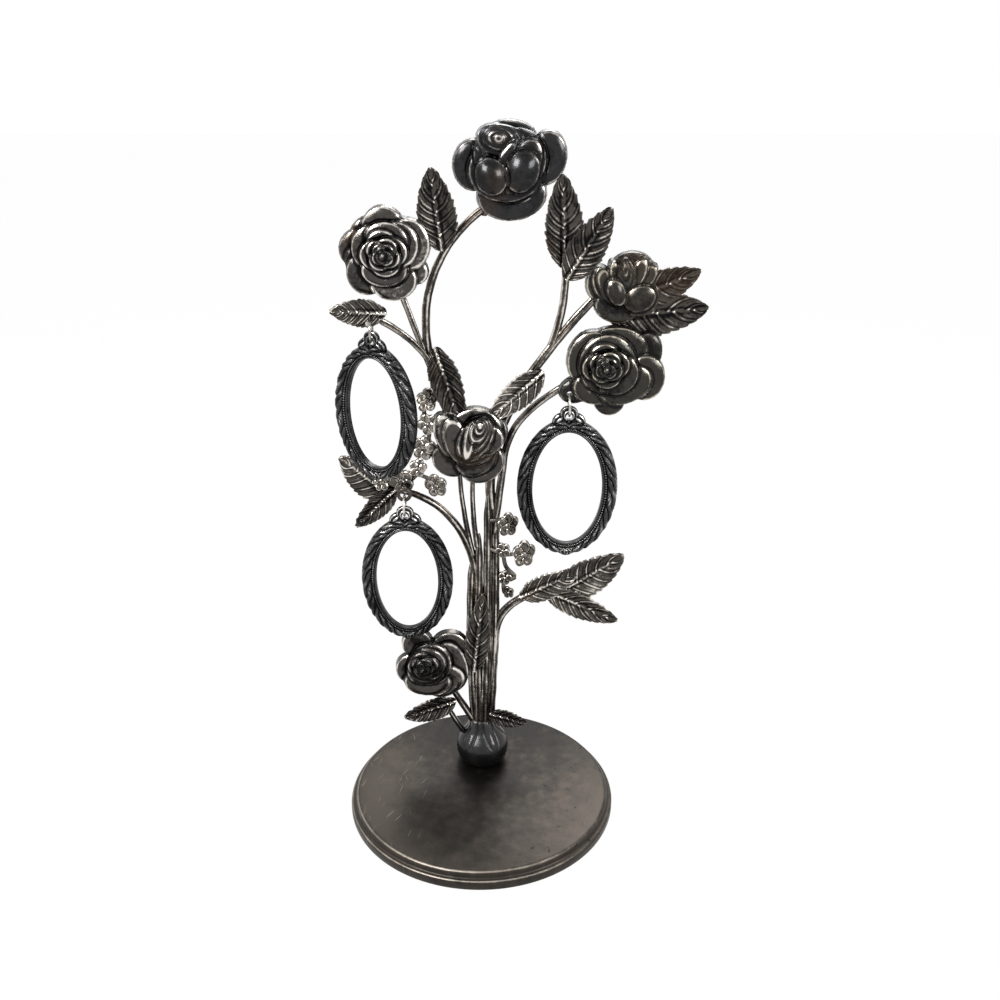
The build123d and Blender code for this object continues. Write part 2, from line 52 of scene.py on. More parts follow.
# Studio: a plain pale floor and a white room round it, which the camera and the metal see as white. Three
# soft lamps light the stand: the main one from the upper left, a weaker one from the right, one from behind.
class Socket:
    """An output or input of a node, which can be added, subtracted and multiplied like a number."""

    def __init__(self, tree, socket):
        self.tree, self.socket = tree, socket

    def node(self, kind, settings=None, inputs=None, output=0):
        """Adds a node: its settings first, then the values or links of its sockets."""
        made = self.tree.nodes.new("ShaderNode" + kind)
        for key, value in (settings or {}).items():
            setattr(made, key, value)
        for key, value in (inputs or {}).items():
            if isinstance(value, Socket):
                self.tree.links.new(value.socket, made.inputs[key])
            else:
                made.inputs[key].default_value = value
        return Socket(self.tree, made.outputs[output])

    def take(self, shader):
        """Links a finished shader into this socket."""
        self.tree.links.new(shader.socket, self.socket)

    def math(self, operation, first, second=0.0):
        return self.node("Math", {"operation": operation}, {0: first, 1: second})

    def __add__(self, other): return self.math("ADD", self, other)
    def __radd__(self, other): return self.math("ADD", other, self)
    def __sub__(self, other): return self.math("SUBTRACT", self, other)
    def __rsub__(self, other): return self.math("SUBTRACT", other, self)
    def __mul__(self, other): return self.math("MULTIPLY", self, other)
    def __rmul__(self, other): return self.math("MULTIPLY", other, self)

    def between(self, low, high):
        """0 below low, 1 above high, and smooth in between."""
        inputs = {"Value": self, "From Min": low, "From Max": high}
        return self.node("MapRange", {"interpolation_type": "SMOOTHSTEP"}, inputs)

    def mix(self, first, second):
        """A colour that goes from first to second as this socket goes from 0 to 1."""
        return self.node("Mix", {"data_type": "RGBA"}, {"Factor": self, 6: first, 7: second}, output=2)


def rgb(red, green, blue):
    """A colour as the photograph shows it, from 0 to 255, turned into light."""
    shares = [value / 255 for value in (red, green, blue)]
    light = [((c + 0.055) / 1.055) ** 2.4 if c > 10 / 255 else c / 12.92 for c in shares]
    return (*light, 1.0)


def emptied(owner, kind):
    """Clears the nodes of a material or a world, and gives the socket that its surface goes into."""
    owner.use_nodes = True
    owner.node_tree.nodes.clear()
    return Socket(owner.node_tree, owner.node_tree.nodes.new("ShaderNode" + kind).inputs["Surface"])


def new_material(name):
    """A material, and the socket that its surface goes into."""
    material = bpy.data.materials.new(name)
    return material, emptied(material, "OutputMaterial")


def on_show(out):
    """1 for rays from the camera, in mirrors and through glass, and 0 for the light that falls on things."""
    camera_ray, glossy_ray, transmission_ray = (out.node("LightPath", output=ray) for ray in (0, 3, 6))
    return out.math("MAXIMUM", out.math("MAXIMUM", camera_ray, glossy_ray), transmission_ray)


bpy.ops.mesh.primitive_plane_add(size=6, location=(0, 1.5, 0))
floor = bpy.context.object
floor.name = "floor"
paper, out = new_material("pale_paper")
soft = out.node("BsdfDiffuse", inputs={"Color": (0.86, 0.86, 0.86, 1)})
white = out.node("Emission", inputs={"Color": (1, 1, 1, 1), "Strength": 1.0})
shader = out.node("MixShader", inputs={0: on_show(out) * 0.98, 1: soft, 2: white})
out.take(shader)
floor.data.materials.append(paper)

world = bpy.data.worlds.new("white_room")
bpy.context.scene.world = world
sky = emptied(world, "OutputWorld")
room_light = 0.45
strength = on_show(sky) * (1 - room_light) + room_light
sky.take(sky.node("Background", inputs={"Color": (1, 1, 1, 1), "Strength": strength}))

lamps = (((-0.5, -0.5, 0.75), 0.35, 11), ((0.6, -0.4, 0.5), 0.3, 4), ((0.1, 0.5, 0.7), 0.4, 5))
aim_height = 0.12
for place, size, power in lamps:
    bpy.ops.object.light_add(type="AREA", location=place)
    lamp = bpy.context.object
    lamp.data.size, lamp.data.energy = size, power
    x, y, z = place
    lamp.rotation_euler = (atan2(hypot(x, y), z - aim_height), 0, atan2(x, -y))


# Base disc: a shallow cup cast in pewter and turned over, with a flange round its foot. Its satin dark top is
# scratched on the left and pitted on the right, with painted shade that darkens it down the middle and towards
# the back. Its rim edges are painted bright, as wear and as a painted highlight strongest at the front left.
MM = 0.001
seam = 0.005 * MM


def shaped(name, columns, rows, rule, wall=0.0, merge=True, smooth=50):
    """A grid whose points go where the rule puts them, in mm. The rule also says how bright each point is
    painted, from its wear and any painted highlight.
    """
    bpy.ops.object.select_all(action="DESELECT")
    bpy.ops.mesh.primitive_grid_add(x_subdivisions=columns, y_subdivisions=rows, size=1)
    piece = bpy.context.object
    piece.name = name
    wear_and_highlight = piece.data.attributes.new("wear_and_highlight", "FLOAT", "POINT")
    for spot, point in zip(wear_and_highlight.data, piece.data.vertices):
        place, spot.value = rule(point.co.x + 0.5, point.co.y + 0.5)
        point.co = [length * MM for length in place]
    if merge:
        bpy.ops.object.mode_set(mode="EDIT")
        bpy.ops.mesh.select_all(action="SELECT")
        bpy.ops.mesh.remove_doubles(threshold=seam)
        if not wall:
            bpy.ops.mesh.normals_make_consistent(inside=False)
        bpy.ops.object.mode_set(mode="OBJECT")
    if wall:
        solid = piece.modifiers.new("wall", "SOLIDIFY")
        solid.thickness, solid.offset = wall * MM, -1
        bpy.ops.object.modifier_apply(modifier="wall")
    bpy.ops.object.shade_smooth_by_angle(angle=radians(smooth))
    return piece


def joined(name, pieces):
    """Several meshes as one piece."""
    bpy.ops.object.select_all(action="DESELECT")
    for piece in pieces:
        piece.select_set(True)
    bpy.context.view_layer.objects.active = pieces[0]
    if len(pieces) > 1:
        bpy.ops.object.join()
    pieces[0].name = pieces[0].data.name = name
    return pieces[0]


def finished(piece, material, slot, body, *nodes):
    """Gives a piece its finish and its body, and puts it in the place of its CAD nodes."""
    piece.data.materials.clear()
    piece.data.materials.append(material)
    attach(piece, body)
    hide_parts(*nodes)


def along(corners, share):
    """The point at a share of the way, from 0 to 1, along a line through corners."""
    runs = [hypot(b[0] - a[0], b[1] - a[1]) for a, b in zip(corners, corners[1:])]
    left = share * sum(runs)
    for (a, b), run in zip(zip(corners, corners[1:]), runs):
        if left <= run + 1e-9:
            part = left / run
            return a[0] + (b[0] - a[0]) * part, a[1] + (b[1] - a[1]) * part
        left -= run
    return corners[-1]


# The disc's outline from the middle of its top to that of its hollow: radius and height, in mm, and how bright
# its rim edges are painted, as wear and painted highlight.
base_rings = (
    (0.0, 7.0, 0.0), (20.0, 7.0, 0.0), (40.0, 7.0, 0.0), (47.0, 7.0, 0.0), (51.2, 7.0, 0.0),
    (51.9, 6.95, 0.3), (52.4, 6.85, 0.8), (52.8, 6.6, 0.8), (53.15, 6.2, 0.2), (53.3, 5.6, 0.0),
    (53.4, 4.9, 0.0), (53.5, 4.45, 0.0), (53.9, 4.2, 0.0), (54.4, 4.15, 0.4), (54.8, 4.05, 0.9),
    (55.15, 3.75, 0.6), (55.3, 3.2, 0.1), (55.3, 2.0, 0.0), (55.3, 0.9, 0.1), (55.15, 0.35, 0.5),
    (54.7, 0.05, 0.5), (54.0, 0.0, 0.1), (52.8, 0.0, 0.0), (52.3, 0.2, 0.0), (52.3, 2.0, 0.0),
    (52.1, 3.2, 0.0), (51.4, 3.4, 0.0), (30.0, 3.4, 0.0), (0.0, 3.4, 0.0),
)


def base_rule(u, v):
    radius, height, wear_and_highlight = base_rings[round(u * (len(base_rings) - 1))]
    turn = -2 * pi * v
    return (radius * cos(turn), radius * sin(turn), height), wear_and_highlight


base = shaped("Base_disc", len(base_rings) - 1, 192, base_rule, smooth=60)
pewter, out = new_material("scratched_pewter")
place = out.node("TexCoord", output=3)
edge = out.node("Attribute", {"attribute_name": "wear_and_highlight"}, output=2)
across = out.node("SeparateXYZ", inputs={0: place}, output=0)
behind = out.node("SeparateXYZ", inputs={0: place}, output=1)
cloud = out.node("TexNoise", inputs={"Vector": place, "Scale": 45.0, "Detail": 5.0, "Roughness": 0.6})
mottle = out.node("TexNoise", inputs={"Vector": place, "Scale": 190.0, "Detail": 6.0, "Roughness": 0.7})
grain = out.node("TexNoise", inputs={"Vector": place, "Scale": 1400.0, "Detail": 4.0, "Roughness": 0.7})
pits = out.node("TexNoise", inputs={"Vector": place, "Scale": 420.0, "Detail": 2.0})
pitted = (pits - 0.68).between(0.0, 0.02) * across.between(0.0, 0.03)
scratches, scratch_length, scratch_width = 0.0, 0.016, 0.0007
for turn, cut in ((58, 0.70), (78, 0.70), (104, 0.72)):
    drawn = out.node("Mapping", {"vector_type": "TEXTURE"}, {
        "Vector": place, "Rotation": (0, 0, radians(turn)), "Scale": (scratch_length, scratch_width, 1.0),
    })
    fine = out.node("TexNoise", inputs={"Vector": drawn, "Scale": 1.0, "Detail": 1.0})
    scratches = out.math("MAXIMUM", scratches, fine.between(cut, cut + 0.09))
scratched = scratches * (0.0 - across).between(0.012, 0.04)
# Mottled tone plus painted shade: the plate is painted darker down the middle and towards the back, and lighter
# to the sides, most on the left.
mottle_and_shade = cloud * 0.35 + mottle * 0.75 + across * across * 190.0 - behind * 4.0 - across * 2.0
plate = mottle_and_shade.between(0.40, 1.05).mix(rgb(31, 29, 27), rgb(62, 57, 52))
plate = ((mottle * 0.6 + cloud * 0.4).between(0.52, 0.66) * 0.25).mix(plate, rgb(72, 62, 54))
plate = (scratched * 0.45).mix(plate, rgb(150, 142, 132))
plate = (pitted * 0.85).mix(plate, rgb(16, 14, 13))
# Painted highlight: the rim edges are painted brighter at the front left, on top of their wear.
front_left_highlight = (0.0 - across - behind).between(-0.03, 0.06) * 0.35
plate = (edge * (front_left_highlight + 0.72) + mottle * 0.6).between(0.80, 1.6).mix(plate, rgb(178, 169, 158))
cast_skin = grain * 0.6 + mottle * 1.2 - pitted * 2.0
bumps = out.node("Bump", inputs={"Strength": 0.3, "Distance": 0.12 * MM, "Height": cast_skin})
metal = out.node("BsdfPrincipled", inputs={
    "Base Color": plate, "Metallic": 0.9, "Roughness": 0.33 + cloud * 0.10 + mottle * 0.08, "Normal": bumps,
})
out.take(metal)
finished(base, pewter, "base_metal", "stand", "base_disc")


# Felt, washer and screw: seen only from below. Black felt is glued under the disc, and a zinc plated screw
# with a washer holds the bulb through it. They keep their CAD shapes and get a finish.
felt, out = new_material("black_felt")
place = out.node("TexCoord", output=3)
nap = out.node("TexNoise", inputs={"Vector": place, "Scale": 1800.0, "Detail": 5.0})
fluff = out.node("TexNoise", inputs={"Vector": place, "Scale": 160.0, "Detail": 3.0})
dye = (nap * 0.6 + fluff * 0.4).between(0.3, 0.7).mix(rgb(18, 18, 20), rgb(48, 48, 52))
bumps = out.node("Bump", inputs={"Strength": 0.6, "Distance": 0.3 * MM, "Height": nap})
cloth = out.node("BsdfPrincipled", inputs={"Base Color": dye, "Roughness": 0.95, "Normal": bumps})
out.take(cloth)
zinc, out = new_material("zinc_plate")
place = out.node("TexCoord", output=3)
grain = out.node("TexNoise", inputs={"Vector": place, "Scale": 900.0, "Detail": 4.0})
plate = grain.between(0.3, 0.7).mix(rgb(140, 140, 142), rgb(186, 186, 184))
rough = grain * 0.15 + 0.3
steel = out.node("BsdfPrincipled", inputs={"Base Color": plate, "Metallic": 1.0, "Roughness": rough})
out.take(steel)
for node, material in (("felt_pad", felt), ("base_screw", zinc), ("base_washer", zinc)):
    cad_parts[node].data.materials.clear()
    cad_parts[node].data.materials.append(material)


# Trunk: a cast bulb, polished below and folded into pointed sepals above, and four ribbed stems that grow
# from it side by side. It is screwed to the disc. Like all the castings it is silver that was blackened all
# over and then rubbed, so that ribs and rims shine and hollows stay black.
def antique(name, hollow, skin, rubbed_and_highlight, rough, amount, warmth=0.0, gloss=0.0, polished=0.0):
    """Antiqued silver: hollow, skin and the bright shade are its shades from dark to bright; the bright one goes
    where the casting is rubbed and where a highlight is painted. amount says how much of it takes the bright
    shade, and warmth how brown it has tarnished. Below the height polished it is smooth and grey."""
    material, out = new_material(name)
    place = out.node("TexCoord", output=3)
    wear_and_highlight = out.node("Attribute", {"attribute_name": "wear_and_highlight"}, output=2)
    patch = out.node("TexNoise", inputs={"Vector": place, "Scale": 70.0, "Detail": 4.0, "Roughness": 0.6})
    speck = out.node("TexNoise", inputs={"Vector": place, "Scale": 620.0, "Detail": 5.0, "Roughness": 0.65})
    grain = out.node("TexNoise", inputs={"Vector": place, "Scale": 2600.0, "Detail": 3.0, "Roughness": 0.6})
    uneven = (speck - 0.5) * 0.9 + (patch - 0.5) * 1.3
    if polished:
        height = out.node("SeparateXYZ", inputs={0: place}, output=2)
        plain = (height - polished).between(-0.002, 0.003)
        uneven = uneven * (plain * 0.8 + 0.2)
        rough = rough - 0.09 + plain * 0.09
    # This level sums wear, painted highlights and random unevenness: low levels take black patina in the hollows,
    # high ones the bright shade.
    touch_and_highlight = wear_and_highlight + uneven
    blackened = (0.0 - touch_and_highlight).between(-0.30, 0.12)
    bare_and_highlight = touch_and_highlight.between(1.0 - amount, 1.55 - amount)
    shaded_skin = tuple(light * 0.72 for light in skin[:3]) + (1,)
    coat = (patch * 0.5 + speck * 0.5).between(0.35, 0.65).mix(shaded_skin, skin)
    coat = blackened.mix(coat, hollow)
    coat = bare_and_highlight.mix(coat, rubbed_and_highlight)
    if warmth:
        tarnish = out.node("TexNoise", inputs={"Vector": place, "Scale": 38.0, "Detail": 2.0})
        coat = (tarnish.between(0.52, 0.68) * warmth).mix(coat, rgb(150, 116, 84))
    if polished:
        coat = ((1.0 - plain) * 0.6).mix(coat, rgb(52, 53, 56))
    dull = rough + (speck - 0.5) * 0.30 - bare_and_highlight * 0.10 + blackened * 0.15
    cast_skin = speck * 1.5 + grain * 0.6
    bumps = out.node("Bump", inputs={"Strength": 0.5, "Distance": 0.12 * MM, "Height": cast_skin})
    metal = out.node("BsdfPrincipled", inputs={
        "Base Color": coat, "Metallic": 0.92, "Roughness": dull, "Normal": bumps,
        "Coat Weight": gloss, "Coat Roughness": 0.12,
    })
    out.take(metal)
    return material


# Places on the bush are shares of its reach and its height, and it stands behind the disc's middle, in mm.
REACH, HEIGHT, SETBACK = 70.0, 274.0, 18.8
base_height, bulb_radius, bulb_height, polish_height = 7.0, 11.2, 21.5, 27.0
trunk_width, trunk_depth, trunk_stagger = 4.2, 3.9, 3.6
stem_silver = antique(
    "stem_silver", rgb(14, 13, 12), rgb(80, 75, 70), rgb(212, 205, 196), 0.27, 0.46, warmth=0.06,
    polished=polish_height * MM)


def arcs(shares):
    """Points along arcs that run into each other, from shares of the reach and the height."""
    corners = [(x * REACH, z * HEIGHT) for x, z in shares]
    (ax, ay), (bx, by), (cx, cy) = corners[:3]
    double = 2 * (ax * (by - cy) + bx * (cy - ay) + cx * (ay - by))
    aa, bb, cc = ax * ax + ay * ay, bx * bx + by * by, cx * cx + cy * cy
    ox = (aa * (by - cy) + bb * (cy - ay) + cc * (ay - by)) / double
    oy = (aa * (cx - bx) + bb * (ax - cx) + cc * (bx - ax)) / double
    side = 1 if (bx - ax) * (cy - by) - (by - ay) * (cx - bx) > 0 else -1
    tangent = (-(ay - oy) * side, (ax - ox) * side)
    route = []
    for (px, py), (qx, qy) in [(corners[0], corners[2])] + list(zip(corners[2:-1], corners[3:])):
        scale = hypot(*tangent)
        tx, ty = tangent[0] / scale, tangent[1] / scale
        dx, dy = qx - px, qy - py
        lift = dy * tx - dx * ty
        ahead = dx * tx + dy * ty
        if abs(lift) < 1e-6:
            route += [(px + dx * step / 12, py + dy * step / 12) for step in range(12)]
            tangent = (tx, ty)
            continue
        radius = (dx * dx + dy * dy) / (2 * lift)
        sweep = 2 * atan2(lift, ahead)
        nx, ny = -ty * radius, tx * radius
        steps = max(8, ceil(abs(sweep) / radians(6)))
        for step in range(steps):
            a = sweep * step / steps
            run, rise = radius * sin(a), 1 - cos(a)
            route.append((px + nx * rise + tx * run, py + ny * rise + ty * run))
        tangent = (tx * cos(sweep) - ty * sin(sweep), tx * sin(sweep) + ty * cos(sweep))
    return route + [corners[-1]]


def ribbed(shares, width, depth, forward=0.0, lean=0.0, tip=0.85, root=1.1, point=1.2, ribs=5):
    """A cast stem with grooves between rounded ribs, in front of the bush by forward. tip and root scale its
    ends, and the last stretch, as long as point, runs out into the casting behind."""
    route = arcs(shares)
    start = route[0][0]
    length = sum(hypot(b[0] - a[0], b[1] - a[1]) for a, b in zip(route, route[1:]))
    ring_spacing, tip_round = 0.9, 1.2
    rings = max(16, round(length / ring_spacing))

    def rule(u, v):
        x, z = along(route, u)
        ahead_x, ahead_z = along(route, min(1.0, u + 0.01))
        back_x, back_z = along(route, max(0.0, u - 0.01))
        run = hypot(ahead_x - back_x, ahead_z - back_z)
        nx, nz = -(ahead_z - back_z) / run, (ahead_x - back_x) / run
        end = min(1.0, u * length / tip_round + 0.03, (1 - u) * length / point + 0.03) ** 0.5
        size = (tip + (root - tip) * u) * end
        turn = 2 * pi * v + 0.5 * sin(u * length * 0.07 + start)
        rib = abs(cos(ribs / 2 * turn))
        strand = abs(cos(ribs * 1.5 * turn + 0.4))
        swell = 0.74 + 0.22 * rib ** 0.5 + 0.03 * strand + 0.035 * sin(u * length * 0.5 + v * 9)
        side = cos(turn) * width / 2 * swell * size
        front = sin(turn) * depth / 2 * swell * size + forward + (start - x) * tan(radians(lean))
        shine = 0.9 * rib ** 2 - 0.16 + 0.2 * strand + 0.16 * sin(u * length * 0.4 + v * 20)
        return (x + nx * side, SETBACK - front, z + nz * side), shine

    return shaped("stem", rings, 48, rule, smooth=80)


# The route of each stem, and its share of the stagger by which they stand in front of each other.
trunk_shares = (
    (((-0.038, 0.090), (-0.063, 0.243), (-0.049, 0.385)), -0.05),
    (((-0.016, 0.085), (-0.017, 0.208), (-0.008, 0.425)), 0.22),
    (((0.012, 0.085), (0.027, 0.208), (0.044, 0.490)), 0.28),
    (((0.046, 0.090), (0.074, 0.225), (0.083, 0.480)), 0.0),
)
# The bulb's outline: radius and height.
bulb_shares = (
    (0.0, 0.0), (0.62, 0.0), (0.78, 0.03), (0.92, 0.12), (0.99, 0.25), (1.0, 0.35), (0.97, 0.46),
    (0.88, 0.57), (0.74, 0.67), (0.61, 0.76), (0.53, 0.86), (0.49, 0.95), (0.42, 1.0), (0.0, 1.0),
)


def bulb_rule(u, v):
    """Five sepals part at half height, each with a ridge, and leave dark creases between them."""
    radius, height = along(bulb_shares, u)
    turn = -2 * pi * v
    fold = ((turn * 5 / (2 * pi) + 0.18 + 0.2 * height) % 1.0 - 0.5) * 2
    sepal = min(1.0, max(0.0, height - 0.44) * 2.8)
    ridge = exp(-((fold / 0.30) ** 2)) * sepal
    crease = exp(-(((abs(fold) - 0.62 + 0.45 * (1 - sepal)) / 0.09) ** 2)) * min(1.0, sepal * 3)
    size = radius * bulb_radius * (1 - 0.06 * sepal + 0.10 * ridge - 0.05 * crease)
    shine = 0.08 + 0.42 * ridge - 0.70 * crease * sepal - 0.5 * exp(-((height / 0.05) ** 2))
    return (size * cos(turn), SETBACK + size * sin(turn), base_height + height * bulb_height), shine


trunk = [
    ribbed(route, trunk_width, trunk_depth, share * trunk_stagger, tip=1.05, root=0.80, point=9.0, ribs=7)
    for route, share in trunk_shares
]
trunk.append(shaped("bulb", 60, 180, bulb_rule, smooth=70))
finished(joined("Trunk", trunk), stem_silver, "stem_metal", "stand", "trunk")


# Branches: ribbed castings in the same silver, each bent in one plane and soldered to the trunk or another
# branch. A row is a stem's route, its width, its depth, how far forward it stands, and its lean in degrees.
branch_shares = {
    "branch_arch_left": (
        (((0.060, 0.894), (-0.197, 0.825), (-0.284, 0.740), (-0.232, 0.650), (-0.060, 0.555)), 3.45, 3.3, 0.0, 0),
        (((0.150, 0.938), (0.110, 0.912), (0.020, 0.880)), 2.7, 2.9, 0.32, 0),
        (((-0.150, 0.597), (-0.285, 0.690), (-0.468, 0.826)), 2.4, 2.6, 0.7, 0),
        (((-0.170, 0.616), (-0.335, 0.711), (-0.520, 0.750)), 2.4, 2.6, 0.16, 20),
    ),
    "branch_bough_right": (
        (((0.700, 0.795), (0.536, 0.751), (0.264, 0.660), (0.120, 0.588), (0.066, 0.460)), 3.9, 3.6, 0.0, 0),
        (((0.438, 0.850), (0.454, 0.790), (0.363, 0.692)), 3.1, 2.9, 0.0, 0),
    ),
    "branch_rose_right": (
        (((0.700, 0.673), (0.455, 0.648), (0.268, 0.612), (0.132, 0.541), (0.070, 0.420)), 3.1, 3.2, 0.0, 0),
    ),
    "branch_low_left": (
        (((-0.585, 0.494), (-0.400, 0.489), (-0.225, 0.463), (-0.098, 0.418), (-0.022, 0.330)), 3.3, 3.2, 0.0, 0),
    ),
    "branch_low_right": (
        (((0.520, 0.322), (0.330, 0.325), (0.189, 0.308), (0.082, 0.255), (0.038, 0.150)), 3.9, 3.6, 0.0, 0),
    ),
    "branch_rose_center": (
        (((-0.120, 0.560), (-0.100, 0.469), (-0.040, 0.385)), 2.2, 2.6, 0.0, 0),
        (((-0.030, 0.560), (-0.045, 0.490), (-0.020, 0.400)), 2.2, 2.6, 0.8, 0),
    ),
    "branch_base_left": (
        (((-0.285, 0.196), (-0.170, 0.151), (-0.050, 0.095)), 3.0, 3.2, 0.3, 0),
        (((-0.253, 0.150), (-0.181, 0.106), (-0.110, 0.075)), 2.4, 2.6, 0.3, 0),
    ),
}
for node, stems in branch_shares.items():
    pieces = [ribbed(*stem) for stem in stems]
    finished(joined(node.capitalize(), pieces), stem_silver, "stem_metal", "stand", node)


# Leaves: thin silver castings, soldered on by their feet, with a folded blade, saw teeth, a bright midrib and
# swollen panels between curved veins.
leaf_silver = antique(
    "leaf_silver", rgb(12, 12, 12), rgb(74, 70, 66), rgb(218, 211, 202), 0.25, 0.40, warmth=0.06)
leaf_thickness = 1.0
leaf_outline = (
    (0, 0.10), (0.04, 0.34), (0.10, 0.62), (0.18, 0.83), (0.28, 0.96), (0.40, 1.0), (0.52, 0.97),
    (0.64, 0.86), (0.75, 0.73), (0.85, 0.55), (0.93, 0.35), (0.98, 0.17), (1, 0.0),
)


def leaf(base, tip, width_share, forward_share, fold, lift, brightening=0.08, veins=6, teeth=11):
    """A leaf from base to tip. fold is the slope of its halves and lift that of its midrib, in degrees, and the
    last value says how much brighter the whole leaf is."""
    bx, bz, tx, tz = base[0] * REACH, base[1] * HEIGHT, tip[0] * REACH, tip[1] * HEIGHT
    flat = hypot(tx - bx, tz - bz)
    length = flat / cos(radians(lift))
    half = width_share * REACH / 2
    ex, ez = (tx - bx) / flat, (tz - bz) / flat

    def rule(u, v):
        across = 2 * v - 1
        side = abs(across)
        wide = 0.0
        for (a, wa), (b, wb) in zip(leaf_outline, leaf_outline[1:]):
            if a <= u <= b + 1e-9:
                wide = wa + (wb - wa) * (u - a) / (b - a)
                break
        wide *= 1 - 0.09 * (1 - (u * teeth + 0.3) % 1.0) ** 1.2 * side ** 3 * (0.08 < u < 0.96)
        reach = across * half * wide
        phase = u * veins - 0.75 * side - 0.55 * side * side + (0.3 if across > 0 else 0.0)
        phase += 0.14 * sin(u * 9 + bz)
        off = abs((phase + 0.5) % 1.0 - 0.5)
        inside = min(1.0, (1 - side) * 5) * min(1.0, (1 - u) * 9) * min(1.0, u * 12)
        vein = exp(-((off / 0.070) ** 2)) * inside
        furrow = exp(-(((off - 0.17) / 0.07) ** 2)) * inside
        pillow = sin(pi * min(1.0, off * 2)) ** 0.8 * inside * min(1.0, side * 4)
        rib = exp(-((reach / 0.55) ** 2)) * (1 - 0.75 * u)
        bank = exp(-(((abs(reach) - 1.15) / 0.45) ** 2)) * (1 - 0.6 * u)
        lip = exp(-(((1 - side) * half * wide / 0.45) ** 2))
        relieved = 0.38 * pillow + 0.34 * vein + 0.9 * rib - 0.2 * bank + 0.15 * lip
        rise = abs(reach) * tan(radians(fold)) + relieved + 0.9
        bend = u * flat
        forward = forward_share * REACH + u * length * sin(radians(lift)) + rise
        shine = 1.0 * rib + 0.78 * vein + 0.50 * lip - 0.62 * furrow - 0.55 * bank + 0.20 * pillow + brightening
        shine += 0.16 * sin(u * 11 + bx) * sin(across * 5 + bz)
        return (bx + ex * bend - ez * reach, SETBACK - forward, bz + ez * bend + ex * reach), shine

    return shaped("blade", 110, 44, rule, wall=leaf_thickness, merge=False, smooth=75)


# A row is a leaf's foot, its tip, its width, how far forward it stands, its fold and its lift, and how much
# brighter it is.
leaf_shares = {
    "leaf_trunk": ((-0.045, 0.196), (0.010, 0.330), 0.152, 0.040, 17, 0, 0.14),
    "leaf_arch_top": ((-0.188, 0.836), (-0.234, 0.940), 0.205, 0.022, 17, 4),
    "leaf_arch_inner": ((-0.240, 0.706), (-0.096, 0.594), 0.172, 0.024, 17, 4),
    "leaf_bough_inner": ((0.345, 0.672), (0.055, 0.607), 0.164, 0.028, 17, 3, 0.44),
    "leaf_bough_up": ((0.452, 0.812), (0.424, 0.932), 0.200, 0.012, 17, 5),
    "leaf_bough_side": ((0.458, 0.797), (0.672, 0.891), 0.195, 0.012, 17, 8),
    "leaf_bud_upper": ((0.700, 0.760), (1.165, 0.806), 0.210, -0.020, 14, -3),
    "leaf_bud_lower": ((0.690, 0.744), (1.222, 0.755), 0.250, -0.045, 14, -2),
    "leaf_low_left_upper": ((-0.510, 0.484), (-0.785, 0.541), 0.210, -0.012, 14, -2, 0.40),
    "leaf_low_left_lower": ((-0.475, 0.496), (-0.706, 0.441), 0.130, 0.010, 17, 5, 0.12),
    "leaf_low_right_inner": ((0.230, 0.322), (0.561, 0.369), 0.164, 0.018, 17, 5, 0.36),
    "leaf_low_right_outer": ((0.450, 0.328), (0.816, 0.398), 0.230, 0.012, 17, 8, 0.34),
    "leaf_low_right_lower": ((0.370, 0.334), (0.797, 0.290), 0.160, 0.016, 17, 8, 0.34),
    "leaf_base_left": ((-0.160, 0.138), (-0.472, 0.113), 0.149, 0.020, 17, 6, 0.22),
    "leaf_base_right": ((0.050, 0.116), (0.265, 0.101), 0.115, 0.028, 17, 4),
    "leaf_hook": ((-0.480, 0.757), (-0.758, 0.763), 0.150, 0.106, 14, 10, 0.26),
}
for node, row in leaf_shares.items():
    finished(joined(node.capitalize(), [leaf(*row)]), leaf_silver, "leaf_metal", "stand", node)


# Roses: cast in relief, blackened and soldered to their stems. Swollen petals lie over each other like
# shingles, with rubbed rims and black creases along them. The open ones wind round their heart, and in the
# buds two round petals meet in a V below it.
rose_silver = antique(
    "rose_silver", rgb(8, 8, 8), rgb(72, 69, 66), rgb(224, 218, 210), 0.22, 0.40, 0.06, gloss=0.1)
rose_dark = antique(
    "rose_dark", rgb(7, 7, 8), rgb(38, 38, 40), rgb(176, 168, 162), 0.20, 0.42, 0.06, gloss=0.3)
rose_bronzed = antique(
    "rose_bronzed", rgb(9, 9, 8), rgb(54, 52, 48), rgb(194, 185, 168), 0.23, 0.36, 0.04, gloss=0.2)
petal_foot = 0.05


def petal(x, y, wide, tall, turned, level, swell=0.09, band=0.17, brightening=0.0):
    """One petal of a relief, in shares of its radius: an oval, its level, how it swells and is rubbed, and how
    much brighter its swell is painted, which on the roses is a painted highlight.
    """
    return x, y, wide, tall, cos(radians(turned)), sin(radians(turned)), level, swell, band, brightening


def ring_of_petals(x, y, reach, level, first, count=4):
    """Petals of one size round a heart."""
    turns = [radians(first + 360 / count * step) for step in range(count)]
    spots = [(x + reach * 0.36 * cos(turn), y + reach * 0.36 * sin(turn)) for turn in turns]
    return [petal(px, py, reach * 0.70, reach * 0.66, 0, level + 0.012 * step, 0.06, 0.10)
            for step, (px, py) in enumerate(spots)]


